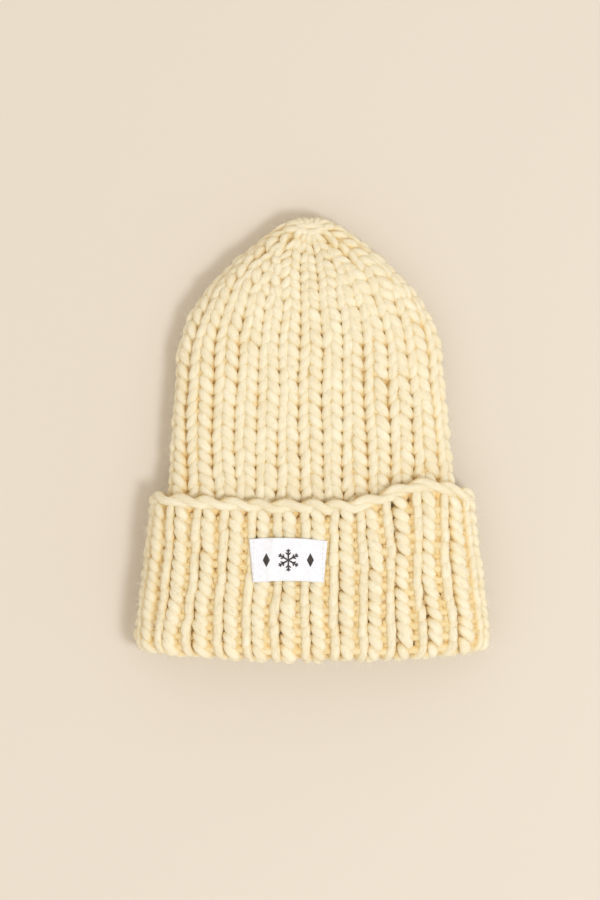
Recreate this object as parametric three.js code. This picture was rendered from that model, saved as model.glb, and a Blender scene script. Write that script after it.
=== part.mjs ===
// A chunky rib-knit wool beanie with a turned-up cuff, lying flat on a table.
//
// Frame: millimetres, +Z up from the table, +Y from the brim to the crown, +X across the
// hat. The origin is the middle of the hat's footprint, on the table. "Along" is the
// distance from the fold of the brim towards the crown.
//
// The fabric is a tube, so each cross-section is a stadium: two flat layers joined by a
// half circle at each side edge. Every solid of the fabric is a loft through stadiums.

import * as THREE from "three";

// ---- Driving dimensions ----

const HAT_LENGTH = 279; // fold of the brim to the tip of the crown
const WALL = 9; // thickness of the ribbed fabric
const GAP = 0.3; // clearance between neighbouring solids

// The body's outer half-width at the places where its side edges change slope.
const HALF_WIDTH_AT_BRIM = 102.8;
const HALF_WIDTH_ABOVE_CUFF = 89.4;
const HALF_WIDTH_AT_CROWN = 83.5;
const ABOVE_CUFF_ALONG = 112;
const CROWN_DEPTH = 95; // the side edges curve in over this length
const CROWN_FULLNESS = 0.83; // exponent of the crown's outline; 0.5 would be an ellipse

// Half-heights of the flattened tube, outside the fabric.
const BODY_HALF_HEIGHT = 19.5; // where nothing lies over it
const INNER_HALF_HEIGHT = 15.5; // under the turned-up cuff
const DROOP_START = 104; // along: the body starts to sink from the cuff to the table
const DROOP_END = 128;

// The crown's tip.
const TIP_ROUNDING_DEPTH = 60; // the thickness falls away over this length
const TIP_ROUNDING_POWER = 0.3;
const TIP_SINK = 6; // how far the tip sinks below the body's middle height
const TIP_BLEND_POWER = 3; // of the smooth minimum that makes the tip round
const TIP_HOLE_FROM_TIP = 2.5; // the fabric ends here, round the gathering yarn
const TIP_HOLE_INSIDE = 3; // the same edge on the inside, past the wall
const GATHER_YARN_RADIUS = 2.5;

// The cuff.
const CUFF_TOP_ALONG = 93; // the knitted rows end here and the cast-on edge begins
const CAST_ON_HEIGHT = 6;

// The label, a woven strip with its ends folded under.
const LABEL_WIDTH = 47;
const LABEL_HEIGHT = 27;
const LABEL_CENTRE_X = -15;
const LABEL_CENTRE_ALONG = 64;
const LABEL_CLOTH = 0.6;
const LABEL_FOLDED_END = 6;
const THREAD_RADIUS = 0.3;
const THREAD_INSET = 2; // from the label's folded edge to its seam
const THREAD_LENGTH = 23;

// The woven motif on the label: a snowflake between two diamonds.
const MOTIF_THICKNESS = 0.3;
const SNOWFLAKE_RADIUS = 7;
const SNOWFLAKE_ARM_WIDTH = 1.1;
const SNOWFLAKE_BARB_AT = 4; // from the centre, where a pair of barbs leaves the arm
const SNOWFLAKE_BARB_LENGTH = 2.4;
const SNOWFLAKE_ARMS = 6;
const SNOWFLAKE_BARB_RISE = Math.PI / 6; // the angle at which a barb rises from across the arm
const DIAMOND_OFFSET = 14;
const DIAMOND_HALF_WIDTH = 2.2;
const DIAMOND_HALF_HEIGHT = 4.2;

// Facets.
const ARC_STEPS = 10; // per half circle of a stadium
const STRAIGHT_STEPS = 4; // per straight side of a stadium
const ROLL_STEPS = 8; // across a rolled edge
const YARN_SIDES = 8;
const UNDER_CUFF_STEPS = 4; // along the body, in its three stretches
const DROOP_STEPS = 6;
const UPPER_BODY_STEPS = 3;
const CROWN_OUTER_STEPS = 14;
const CROWN_INNER_STEPS = 10;
const CUFF_STEPS = 4;

// ---- Materials ----

const wool = (colour) => new THREE.MeshStandardMaterial({ color: colour, roughness: 0.95, metalness: 0 });
const BODY_WOOL = wool(0xf4e6bd);
const CUFF_WOOL = wool(0xf2e2b4);
const EDGE_WOOL = wool(0xefdcaa);
const LABEL_CLOTH_WHITE = wool(0xf3f2f5);
const MOTIF_BROWN = wool(0x3b2c28);
const THREAD_WHITE = wool(0xe9e6e4);

// ---- The shape of the flattened tube ----

const CUFF_HALF_HEIGHT = INNER_HALF_HEIGHT + GAP + WALL;
const CUFF_CENTRE_Z = CUFF_HALF_HEIGHT;
const ROLL_RADIUS = (CUFF_HALF_HEIGHT - (INNER_HALF_HEIGHT - WALL)) / 2;
const CROWN_START_ALONG = HAT_LENGTH - CROWN_DEPTH;

const toY = (along) => along - HAT_LENGTH / 2;
const lerp = (a, b, t) => a + (b - a) * t;

/** Superellipse-like rise from 0 at depth 0 to 1 at the full depth. */
function rise(depth, fullDepth, power) {
  const left = 1 - Math.min(depth / fullDepth, 1);
  return (1 - left ** 2) ** power;
}

/** A minimum of two lengths that rounds the corner where they cross. */
function smoothMin(a, b) {
  return (a ** -TIP_BLEND_POWER + b ** -TIP_BLEND_POWER) ** (-1 / TIP_BLEND_POWER);
}

/** The body's outer half-width below the crown. */
function straightHalfWidth(along) {
  if (along < ABOVE_CUFF_ALONG) {
    return lerp(HALF_WIDTH_AT_BRIM, HALF_WIDTH_ABOVE_CUFF, along / ABOVE_CUFF_ALONG);
  }
  const t = (along - ABOVE_CUFF_ALONG) / (CROWN_START_ALONG - ABOVE_CUFF_ALONG);
  return lerp(HALF_WIDTH_ABOVE_CUFF, HALF_WIDTH_AT_CROWN, t);
}

/** The height of the tube's middle above the table. */
function centreZ(along) {
  const droop = THREE.MathUtils.smoothstep(along, DROOP_START, DROOP_END);
  const fromTip = HAT_LENGTH - along;
  const tip = Math.max(1 - fromTip / TIP_ROUNDING_DEPTH, 0) ** 2;
  return lerp(CUFF_CENTRE_Z, BODY_HALF_HEIGHT, droop) - TIP_SINK * tip;
}

/** A stadium of the body, a distance inside its outer face. */
function bodySection(along, inside) {
  const droop = THREE.MathUtils.smoothstep(along, DROOP_START, DROOP_END);
  return {
    y: toY(along),
    z: centreZ(along),
    halfWidth: straightHalfWidth(along) - inside,
    halfHeight: lerp(INNER_HALF_HEIGHT, BODY_HALF_HEIGHT, droop) - inside,
  };
}

/** A stadium of the crown, a distance inside its outer face. */
function crownSection(along, inside) {
  const fromTip = HAT_LENGTH - along - inside;
  const halfWidth = (HALF_WIDTH_AT_CROWN - inside) * rise(fromTip, CROWN_DEPTH - inside, CROWN_FULLNESS);
  const roundingDepth = TIP_ROUNDING_DEPTH - inside;
  const thickness = (BODY_HALF_HEIGHT - inside) * rise(fromTip, roundingDepth, TIP_ROUNDING_POWER);
  return { y: toY(along), z: centreZ(along), halfWidth, halfHeight: smoothMin(halfWidth, thickness) };
}

/** A stadium of the cuff's layer, outwards from its inner face. */
function cuffSection(along, outwards) {
  return {
    y: toY(along),
    z: CUFF_CENTRE_Z,
    halfWidth: straightHalfWidth(along) + GAP + outwards,
    halfHeight: INNER_HALF_HEIGHT + GAP + outwards,
  };
}

// ---- Lofts ----

/** The points round a stadium, in order from its top left corner. */
function stadiumPoints({ y, z, halfWidth, halfHeight }) {
  const half = Math.max(halfWidth - halfHeight, 0);
  const points = [];
  for (const side of [1, -1]) {
    for (let i = 0; i < STRAIGHT_STEPS; i++) {
      const x = side * lerp(-half, half, i / STRAIGHT_STEPS);
      points.push([x, y, z + side * halfHeight]);
    }
    for (let i = 0; i < ARC_STEPS; i++) {
      const angle = (Math.PI * i) / ARC_STEPS;
      const x = side * (half + Math.sin(angle) * Math.min(halfHeight, halfWidth));
      points.push([x, y, z + side * Math.cos(angle) * halfHeight]);
    }
  }
  return points;
}

/** A closed ring-shaped solid whose cross-section passes through the rings in turn. */
function loopLoft(rings) {
  const around = rings[0].length;
  const positions = rings.flat(2);
  const indices = [];
  for (let r = 0; r < rings.length; r++) {
    const next = (r + 1) % rings.length;
    for (let i = 0; i < around; i++) {
      const j = (i + 1) % around;
      const corners = [r * around + i, r * around + j, next * around + j, next * around + i];
      indices.push(corners[0], corners[1], corners[2]);
      indices.push(corners[0], corners[2], corners[3]);
    }
  }
  const geometry = new THREE.BufferGeometry();
  geometry.setAttribute("position", new THREE.Float32BufferAttribute(positions, 3));
  geometry.setIndex(indices);
  geometry.computeVertexNormals();
  return geometry;
}

/** Evenly spaced values from start to end, both included. */
function stations(start, end, steps) {
  return Array.from({ length: steps + 1 }, (_, i) => lerp(start, end, i / steps));
}

/** The shell between an outer run of sections and an inner one. */
function shell(outer, inner) {
  return loopLoft([...outer, ...inner.reverse()].map(stadiumPoints));
}

/** A rolled edge: half an ellipse of fabric, from the layer's outer face to its inner one. */
function rolledEdge(flatAlong, reach, sectionAt, thickness) {
  const sections = stations(0, Math.PI, ROLL_STEPS).map((angle) => {
    const outwards = (thickness / 2) * (1 + Math.cos(angle) * Math.sign(reach));
    const section = sectionAt(outwards);
    return { ...section, y: toY(flatAlong + reach * Math.sin(angle)) };
  });
  return loopLoft(sections.map(stadiumPoints));
}

// ---- The fabric ----

function ribbedBody() {
  const first = ROLL_RADIUS + GAP;
  const along = [
    ...stations(first, DROOP_START, UNDER_CUFF_STEPS),
    ...stations(DROOP_START, DROOP_END, DROOP_STEPS).slice(1),
    ...stations(DROOP_END, CROWN_START_ALONG - GAP, UPPER_BODY_STEPS).slice(1),
  ];
  return shell(
    along.map((a) => bodySection(a, 0)),
    along.map((a) => bodySection(a, WALL)),
  );
}

/** Stations that crowd towards the tip, where the outline bends most. */
function crownStations(start, end, steps) {
  return stations(0, 1, steps).map((t) => lerp(start, end, Math.sin((t * Math.PI) / 2)));
}

function crown() {
  const outer = crownStations(CROWN_START_ALONG, HAT_LENGTH - TIP_HOLE_FROM_TIP, CROWN_OUTER_STEPS);
  const innerEnd = HAT_LENGTH - WALL - TIP_HOLE_INSIDE;
  const inner = crownStations(CROWN_START_ALONG, innerEnd, CROWN_INNER_STEPS);
  return shell(
    outer.map((a) => crownSection(a, 0)),
    inner.map((a) => crownSection(a, WALL)),
  );
}

/** The yarn that is drawn through the last stitches and closes the crown. */
function crownGatherYarn() {
  const hole = crownSection(HAT_LENGTH - TIP_HOLE_FROM_TIP, 0);
  const path = GAP + GATHER_YARN_RADIUS;
  const rings = stations(0, 2 * Math.PI, YARN_SIDES).slice(1).map((angle) => {
    const outwards = GATHER_YARN_RADIUS * Math.cos(angle) - path;
    return stadiumPoints({
      y: toY(HAT_LENGTH - GATHER_YARN_RADIUS + GATHER_YARN_RADIUS * Math.sin(angle)),
      z: hole.z,
      halfWidth: hole.halfWidth + outwards,
      halfHeight: hole.halfHeight + outwards,
    });
  });
  return loopLoft(rings);
}

/** The turn of the fabric at the brim, from the body's layer to the cuff's. */
function cuffFold() {
  const innerFace = bodySection(ROLL_RADIUS, WALL);
  const atOutwards = (outwards) => ({
    ...innerFace,
    halfWidth: innerFace.halfWidth + outwards,
    halfHeight: innerFace.halfHeight + outwards,
  });
  return rolledEdge(ROLL_RADIUS, -ROLL_RADIUS, atOutwards, 2 * ROLL_RADIUS);
}

function turnedUpCuff() {
  const along = stations(ROLL_RADIUS + GAP, CUFF_TOP_ALONG, CUFF_STEPS);
  return shell(
    along.map((a) => cuffSection(a, WALL)),
    along.map((a) => cuffSection(a, 0)),
  );
}

function castOnEdge() {
  const flatAlong = CUFF_TOP_ALONG + GAP;
  return rolledEdge(flatAlong, CAST_ON_HEIGHT, (out) => cuffSection(flatAlong, out), WALL);
}

// ---- The label ----

const LABEL_BOTTOM_Z = 2 * CUFF_HALF_HEIGHT + GAP + 2 * THREAD_RADIUS + GAP;
const LABEL_TOP_Z = LABEL_BOTTOM_Z + 2 * LABEL_CLOTH + GAP;

/** A strip with both ends folded under, as an outline across the hat, extruded along it. */
function wovenLabel() {
  const edge = LABEL_WIDTH / 2;
  const fold = edge - LABEL_CLOTH;
  const end = edge - LABEL_FOLDED_END;
  const top = 2 * LABEL_CLOTH + GAP;
  const slotTop = LABEL_CLOTH + GAP;
  const rightHalf = [[fold, slotTop], [fold, LABEL_CLOTH], [end, LABEL_CLOTH], [end, 0], [edge, 0], [edge, top]];
  const leftHalf = rightHalf.map(([x, z]) => [-x, z]).reverse();
  const outline = new THREE.Shape([...rightHalf, ...leftHalf].map(([x, z]) => new THREE.Vector2(x, z)));
  const strip = new THREE.ExtrudeGeometry(outline, { depth: LABEL_HEIGHT, bevelEnabled: false });
  strip.rotateX(Math.PI / 2);
  strip.translate(0, LABEL_HEIGHT / 2, 0);
  return strip;
}

function flatMotif(outline) {
  return new THREE.ExtrudeGeometry(new THREE.Shape(outline), { depth: MOTIF_THICKNESS, bevelEnabled: false });
}

/** One arm's outline, from the notch on its right to the notch on its left. */
function snowflakeArm() {
  const half = SNOWFLAKE_ARM_WIDTH / 2;
  const slope = Math.tan(Math.PI / SNOWFLAKE_ARMS);
  const barbX = half + SNOWFLAKE_BARB_LENGTH * Math.cos(SNOWFLAKE_BARB_RISE);
  const barbRise = SNOWFLAKE_BARB_LENGTH * Math.sin(SNOWFLAKE_BARB_RISE);
  const rightSide = [
    [half, half / slope],
    [half, SNOWFLAKE_BARB_AT],
    [barbX, SNOWFLAKE_BARB_AT + barbRise],
    [barbX, SNOWFLAKE_BARB_AT + barbRise + SNOWFLAKE_ARM_WIDTH],
    [half, SNOWFLAKE_BARB_AT + SNOWFLAKE_ARM_WIDTH],
    [half, SNOWFLAKE_RADIUS],
  ];
  const leftSide = rightSide.slice(1).map(([x, y]) => [-x, y]).reverse();
  return [...rightSide, ...leftSide].map(([x, y]) => new THREE.Vector2(x, y));
}

function snowflake() {
  const outline = [];
  for (let arm = 0; arm < SNOWFLAKE_ARMS; arm++) {
    const turn = (2 * Math.PI * arm) / SNOWFLAKE_ARMS;
    for (const point of snowflakeArm()) {
      outline.push(point.rotateAround(new THREE.Vector2(), turn));
    }
  }
  return flatMotif(outline);
}

function diamond() {
  return flatMotif([
    new THREE.Vector2(DIAMOND_HALF_WIDTH, 0),
    new THREE.Vector2(0, DIAMOND_HALF_HEIGHT),
    new THREE.Vector2(-DIAMOND_HALF_WIDTH, 0),
    new THREE.Vector2(0, -DIAMOND_HALF_HEIGHT),
  ]);
}

/** One seam of sewing thread under a folded end of the label. */
function labelThread() {
  return new THREE.CylinderGeometry(THREAD_RADIUS, THREAD_RADIUS, THREAD_LENGTH, YARN_SIDES);
}

// ---- Assembly ----

const beanie = new THREE.Group();

function addPart(parent, name, geometry, material, position = [0, 0, 0]) {
  const mesh = new THREE.Mesh(geometry, material);
  mesh.name = name;
  mesh.position.set(...position);
  parent.add(mesh);
}

addPart(beanie, "ribbed_body", ribbedBody(), BODY_WOOL);
addPart(beanie, "crown", crown(), BODY_WOOL);
addPart(beanie, "crown_gather_yarn", crownGatherYarn(), EDGE_WOOL);
addPart(beanie, "cuff_fold", cuffFold(), CUFF_WOOL);
addPart(beanie, "turned_up_cuff", turnedUpCuff(), CUFF_WOOL);
addPart(beanie, "cast_on_edge", castOnEdge(), EDGE_WOOL);

const label = new THREE.Group();
label.position.set(LABEL_CENTRE_X, toY(LABEL_CENTRE_ALONG), LABEL_BOTTOM_Z);
beanie.add(label);
addPart(label, "woven_label", wovenLabel(), LABEL_CLOTH_WHITE);
const motifZ = LABEL_TOP_Z - LABEL_BOTTOM_Z + GAP;
addPart(label, "label_snowflake", snowflake(), MOTIF_BROWN, [0, 0, motifZ]);
for (const [side, sign] of [["left", -1], ["right", 1]]) {
  addPart(label, `label_diamond_${side}`, diamond(), MOTIF_BROWN, [sign * DIAMOND_OFFSET, 0, motifZ]);
  const threadX = sign * (LABEL_WIDTH / 2 - THREAD_INSET);
  addPart(label, `label_thread_${side}`, labelThread(), THREAD_WHITE, [threadX, 0, -GAP - THREAD_RADIUS]);
}

export default beanie;
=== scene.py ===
"""A chunky rib-knit wool beanie lying flat. Every stitch is a loop of yarn, laid course after
course over the flattened tube of the CAD frame. Lengths are in millimetres until a mesh is made,
and "along" is the distance from the fold of the brim towards the crown."""

import math

import bpy
import numpy as np
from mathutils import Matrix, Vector


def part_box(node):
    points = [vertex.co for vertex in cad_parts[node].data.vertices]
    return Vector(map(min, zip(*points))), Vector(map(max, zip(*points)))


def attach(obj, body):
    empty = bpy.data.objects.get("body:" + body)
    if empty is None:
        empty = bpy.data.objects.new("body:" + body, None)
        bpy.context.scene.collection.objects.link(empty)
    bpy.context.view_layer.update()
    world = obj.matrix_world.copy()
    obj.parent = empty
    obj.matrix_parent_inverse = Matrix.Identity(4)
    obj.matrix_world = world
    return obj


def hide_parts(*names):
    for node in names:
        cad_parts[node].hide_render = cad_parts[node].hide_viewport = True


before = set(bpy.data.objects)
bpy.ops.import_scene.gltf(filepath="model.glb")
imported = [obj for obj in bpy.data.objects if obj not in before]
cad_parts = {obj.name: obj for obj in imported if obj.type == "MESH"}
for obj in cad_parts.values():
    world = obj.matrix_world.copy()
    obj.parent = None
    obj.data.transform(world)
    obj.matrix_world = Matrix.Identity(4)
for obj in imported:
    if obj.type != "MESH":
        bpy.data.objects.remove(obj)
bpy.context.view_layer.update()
MM = 0.001


# ---- Camera ----

VIEW_HEIGHT = 562.5      # how much of the table the upright picture takes in, from top to bottom
CAMERA_HEIGHT = 1900
CAMERA_SHIFT = (-7.8, -6.9)   # puts the hat a little right of the middle and above it
HAT_MID_HEIGHT = 30
SENSOR = 36


def make_camera():
    data = bpy.data.cameras.new("camera")
    data.sensor_width = SENSOR
    data.lens = SENSOR * (CAMERA_HEIGHT - HAT_MID_HEIGHT) / VIEW_HEIGHT
    camera = bpy.data.objects.new("camera", data)
    camera.location = (CAMERA_SHIFT[0] * MM, CAMERA_SHIFT[1] * MM, CAMERA_HEIGHT * MM)
    bpy.context.collection.objects.link(camera)
    bpy.context.scene.camera = camera


# ---- The hat's proportions ----

def from_fold(y):
    return (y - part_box("cuff_fold")[0].y) / MM


HAT_LENGTH = from_fold(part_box("crown_gather_yarn")[1].y)
CROWN_START = from_fold(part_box("crown")[0].y)
CROWN_DEPTH = HAT_LENGTH - CROWN_START
CROWN_HALF_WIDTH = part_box("crown")[1].x / MM
BRIM_HALF_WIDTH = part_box("ribbed_body")[1].x / MM
ABOVE_CUFF = 112.0       # along: just above the cuff, and the half-width there
ABOVE_CUFF_HALF_WIDTH = 89.4
CROWN_FULLNESS = 0.83    # the crown's outline: lower is fuller

RIBS = 26
YARN = 3.35              # the yarn's radius
SKIN = 5.4               # from the fabric's middle to the outside of its yarn
SIDE_INSET = 4.2         # the same at the side edges, where the columns turn sideways
BODY_HALF = 14.0         # half-heights of the middle layer: above the cuff, under it
INNER_HALF = 9.8
BODY_Z = BODY_HALF + SKIN
FOLD_RADIUS = 5.3
CUFF_OUT = 2 * FOLD_RADIUS   # from the body's middle layer to the cuff's
CUFF_Z = INNER_HALF + CUFF_OUT + SKIN
DROOP = (100.0, 126.0)   # along: the body sinks from the cuff to the table
TIP_ROUNDING = 55.0      # the height closes over this length
TIP_SINK = 6.0           # how much lower the tip's middle lies
TIP_CLEAR = 2.7          # the outline closes this far from the tip
TIP_INSET = (2, 28)      # from the tip: where the side inset sets in
LEAN = -1.6              # the body lies a little to one side of the cuff
LEAN_FROM = (90, 150)    # along: where that sets in
BRIM_RISE = 5.0          # the fold is this much higher at the sides than in its middle
BRIM_RISE_ENDS = 70.0    # along
SIDE_SAG = 0.30          # how much lower the side edges are than the middle
SIDE_SAG_POWER = 4
TIP_POWER = 0.3          # how bluntly the height closes at the tip
CORNER_POWER = 3.0       # rounds the height off where the tip gets narrower than it is high
NARROWEST = 0.5          # half-width at the very tip
THINNEST = 1e-6          # keeps the powers below off zero


def smoothstep(x, lo, hi):
    t = np.clip((x - lo) / (hi - lo), 0, 1)
    return t * t * (3 - 2 * t)


def section(along):
    """Half-width, half-height and centre height of the fabric's middle layer."""
    from_tip = np.maximum(HAT_LENGTH - along, 0)
    low = BRIM_HALF_WIDTH + (ABOVE_CUFF_HALF_WIDTH - BRIM_HALF_WIDTH) * along / ABOVE_CUFF
    up = (along - ABOVE_CUFF) / (CROWN_START - ABOVE_CUFF)
    high = ABOVE_CUFF_HALF_WIDTH + (CROWN_HALF_WIDTH - ABOVE_CUFF_HALF_WIDTH) * up
    straight = np.where(along < ABOVE_CUFF, low, high)
    left = 1 - np.clip((from_tip - TIP_CLEAR) / (CROWN_DEPTH - TIP_CLEAR), 0, 1)
    crown = CROWN_HALF_WIDTH * (1 - left ** 2) ** CROWN_FULLNESS
    width = np.where(from_tip < CROWN_DEPTH, crown, straight)
    width = np.maximum(width - SIDE_INSET * smoothstep(from_tip, *TIP_INSET), NARROWEST)
    droop = smoothstep(along, *DROOP)
    tip = 1 - np.clip((from_tip - SKIN) / TIP_ROUNDING, 0, 1)
    flat_half = INNER_HALF + (BODY_HALF - INNER_HALF) * droop
    half = flat_half * np.maximum(1 - tip ** 2, THINNEST) ** TIP_POWER
    half = (width ** -CORNER_POWER + half ** -CORNER_POWER) ** (-1 / CORNER_POWER)
    centre = CUFF_Z + (BODY_Z - CUFF_Z) * droop - TIP_SINK * tip ** 2
    return width, half, centre


def tube_point(turn, along, out):
    """The point at the fraction turn of the way round the tube, from the middle of its top
    towards +X, and a distance outside the body's middle layer."""
    width, half, centre = section(along)
    width, half = width + out, half + out
    flat = np.maximum(width - half, 0)
    arc = math.pi * half
    s = (turn % 1.0) * (4 * flat + 2 * arc)
    beyond = s - flat
    on_right = np.clip(beyond / half, 0, math.pi)
    on_left = np.clip((beyond - arc - 2 * flat) / half, 0, math.pi)
    angle = on_right + on_left
    run = np.minimum(s, flat) - np.clip(beyond - arc, 0, 2 * flat)
    run = run + np.maximum(beyond - 2 * arc - 2 * flat, 0)
    x = run + np.sin(angle) * half
    z = np.cos(angle) * half
    bottom = centre - half
    aside = np.minimum(np.abs(x / width), 1)
    sag = 1 - SIDE_SAG * aside ** SIDE_SAG_POWER
    rise = BRIM_RISE * aside ** 2 * (1 - smoothstep(along, 0, BRIM_RISE_ENDS))
    lean = LEAN * smoothstep(along, *LEAN_FROM)
    return np.stack([x + lean, along + rise - HAT_LENGTH / 2, bottom + (z + half) * sag], -1)


# ---- Rows and ribs ----

# Above this place the rows are evenly spaced up each rib, so the longer ribs at the side edges
# carry them round the crown, as on a knitted dome.
CURVED_FROM = 140.0
TIP_HOLE = 3.6           # the fabric ends this far from the tip
CROWN_END = HAT_LENGTH - TIP_HOLE
TURN_SAMPLES = 225
ALONG_SAMPLES = 300
TURNS = np.linspace(0, 1, TURN_SAMPLES)
TOWARDS_TIP = np.sin(np.linspace(0, math.pi / 2, ALONG_SAMPLES))   # closer together at the tip
ALONGS = CURVED_FROM + (CROWN_END - CURVED_FROM) * TOWARDS_TIP
SIDE_POWER = 1.9         # how late up a rib its greater length is taken up


def rib_lengths():
    lines = tube_point(TURNS[:, None] + 0 * ALONGS, ALONGS + 0 * TURNS[:, None], 0.0)
    steps = np.linalg.norm(np.diff(lines, axis=1), axis=-1)
    return np.concatenate([np.zeros((len(TURNS), 1)), np.cumsum(steps, 1)], 1)


LENGTHS = rib_lengths()
MIDDLE_LENGTH = LENGTHS[0, -1]
BODY_LENGTH = CURVED_FROM + MIDDLE_LENGTH


def along_of(turn, distance):
    """The along-value on a rib for a row at this distance up the middle rib."""
    up = distance - CURVED_FROM
    t = np.clip(up / MIDDLE_LENGTH, 0, 1)
    place = (turn % 1.0) * (len(TURNS) - 1)
    first = np.minimum(place.astype(int), len(TURNS) - 2)
    found = np.zeros_like(distance)
    for step in (0, 1):
        line = first + step
        weight = np.abs(1 - step - (place - first))
        total = LENGTHS[line, -1]
        want = MIDDLE_LENGTH * t + (total - MIDDLE_LENGTH) * t ** SIDE_POWER
        for k in np.unique(line):
            here = line == k
            found[here] += weight[here] * np.interp(want[here], LENGTHS[k], ALONGS)
    return np.where(up <= 0, distance, found)


def body_surface(turn, distance):
    return tube_point(turn, along_of(turn, distance), 0.0)


FOLD_LENGTH = math.pi * FOLD_RADIUS
FOLD_CENTRE = FOLD_RADIUS + SKIN
CUFF_LOW = 97.5          # the cuff's height in the middle of the front
CUFF_MEAN = 99.0
CUFF_SIDE_RISE = 5       # how much higher it stands at the side edges
SWELL = 10.5             # and right of the front's middle, with its place and width across
SWELL_PLACE = 0.62
SWELL_WIDTH = 0.24


def cuff_top(turn):
    """The cuff's uneven top edge: higher at both sides, with a swell right of the middle."""
    off_middle = np.abs((turn + 0.5) % 1.0 - 0.5)
    across = 1 - np.abs(1 - 4 * off_middle)
    signed = np.where((turn % 1.0) < 0.5, 1, -1) * across
    level = CUFF_LOW + CUFF_SIDE_RISE * signed ** 2
    swell = SWELL * np.exp(-((signed - SWELL_PLACE) / SWELL_WIDTH) ** 2)
    on_front = off_middle < 0.25
    return np.where(on_front, level + swell, level)


def brim_surface(turn, distance):
    """The cuff and the fold, by the distance down from the cuff's top and then round the fold."""
    nominal = CUFF_MEAN - FOLD_CENTRE
    stretch = (cuff_top(turn) - FOLD_CENTRE) / nominal
    past = distance - nominal
    angle = np.clip(past / FOLD_RADIUS, 0, math.pi)
    on_cuff = FOLD_CENTRE - past * stretch
    along = np.where(past < 0, on_cuff, FOLD_CENTRE - FOLD_RADIUS * np.sin(angle))
    along = np.where(past > FOLD_LENGTH, FOLD_CENTRE + past - FOLD_LENGTH, along)
    return tube_point(turn, along, FOLD_RADIUS * (1 + np.cos(angle)))


# ---- Stitches ----

# One knit stitch as its yarn's middle runs: across (1 is a quarter of a rib), up (1 is a row),
# out of the fabric in mm, and thickness. Its left leg slants and its right leg is upright.
KNIT = np.array([
    (-1.00, -0.30, -0.2, 0.76),
    (-0.62, -0.06, -1.9, 0.74),
    (-0.36, 0.16, 0.2, 0.84),
    (-0.80, 0.50, 2.1, 1.05),
    (-1.36, 0.92, 2.2, 1.08),
    (-1.58, 1.26, 0.8, 0.94),
    (-1.05, 1.52, -1.6, 0.80),
    (0.80, 1.60, -1.9, 0.78),
    (1.32, 1.46, 0.0, 0.84),
    (1.36, 1.16, 1.5, 0.93),
    (1.20, 0.78, 2.1, 0.98),
    (0.98, 0.44, 2.0, 0.96),
    (0.72, 0.16, 1.1, 0.86),
    (0.58, -0.06, -1.4, 0.76),
    (1.00, -0.30, -0.2, 0.76),
])
SPANS = len(KNIT) - 1
LEG_SPANS = (2, 3, 4, 8, 9, 10, 11)   # these spans show on the stitch's face, and get a point more
UPRIGHT_LEG = slice(7, 14)
UNEVEN = (0.07, 0.08, 0.25, 0.05)   # from stitch to stitch, in the table's own units

PURL_BACK = 0.2          # the purl ribs keep this share of their stand-out between the knit ones
LADDER_DEPTH = 0.1       # and on the cuff this share of their depth, so that their bars show
LADDER_THICK = 0.45      # those bars' thickness: a ladder between the cuff's ribs
CUFF_SQUEEZE = 0.83      # the stretched cuff's ribs stand apart, each pair of legs drawn together
CORD_ACROSS = 0.93       # on the cuff the upright legs line up at this distance into a smooth cord
CORD_LINE_UP = 0.8       # how fully they do
CORD_EVEN = 0.6          # the power that evens out the cord's thickness
CORD_THIN = 0.94


def cuff_stitch():
    stitch = KNIT.copy()
    leg = stitch[UPRIGHT_LEG]
    leg[:, 0] += (CORD_ACROSS - leg[:, 0]) * CORD_LINE_UP
    leg[:, 3] = leg[:, 3] ** CORD_EVEN * CORD_THIN
    return stitch


def rib_period(knit, purl):
    """A knit stitch, then a purl stitch: one that is turned round to face inwards."""
    turned = purl[::-1] * (-1, 1, -1, 1) + (2, 0, 0, 0)
    return np.concatenate([knit[:-1], turned[:-1]])


def body_period():
    period = rib_period(KNIT, KNIT)
    purl = period[SPANS:]
    purl[:, 2] = np.where(purl[:, 2] > 0, purl[:, 2] * PURL_BACK, purl[:, 2])
    return period


def cuff_period():
    period = rib_period(KNIT, cuff_stitch())
    knit = period[:SPANS]
    knit[:, 2] = np.where(knit[:, 2] < 0, knit[:, 2] * LADDER_DEPTH, knit[:, 2])
    knit[1:, 0] *= CUFF_SQUEEZE
    period[SPANS + 1:, 0] = 2 + (period[SPANS + 1:, 0] - 2) * CUFF_SQUEEZE
    period[[0, SPANS], 3] = LADDER_THICK
    return period


def sample_times(fine_knit, fine_purl):
    """Where a period is sampled, in spans: the legs on the hat's outer side more finely."""
    times = []
    for span in range(2 * SPANS):
        times.append(float(span))
        knit = span < SPANS
        mirrored = span if knit else 2 * SPANS - 1 - span
        if mirrored in LEG_SPANS and (fine_knit if knit else fine_purl):
            times.append(span + 0.5)
    return np.array(times)


def catmull(points, times):
    """A closed Catmull-Rom spline through the points, at fractional indices."""
    first = np.floor(times).astype(int)
    t = (times - first)[:, None]
    p0, p1, p2, p3 = (points[(first + k) % len(points)] for k in (-1, 0, 1, 2))
    cubic = (3 * p1 - p0 - 3 * p2 + p3) * t ** 3
    return 0.5 * (2 * p1 + (p2 - p0) * t + (2 * p0 - 5 * p1 + 4 * p2 - p3) * t ** 2 + cubic)


def on_surface(surface, turn, distance, out):
    """Points a distance out of the fabric, and the fabric's normals there."""
    d_turn = 5e-4
    d_along = 0.2
    round_hat = surface(turn + d_turn, distance) - surface(turn - d_turn, distance)
    up_hat = surface(turn, distance + d_along) - surface(turn, distance - d_along)
    normal = np.cross(round_hat, up_hat)
    normal /= np.linalg.norm(normal, axis=-1, keepdims=True) + 1e-12
    return surface(turn, distance) + normal * out[:, None], normal


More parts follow.
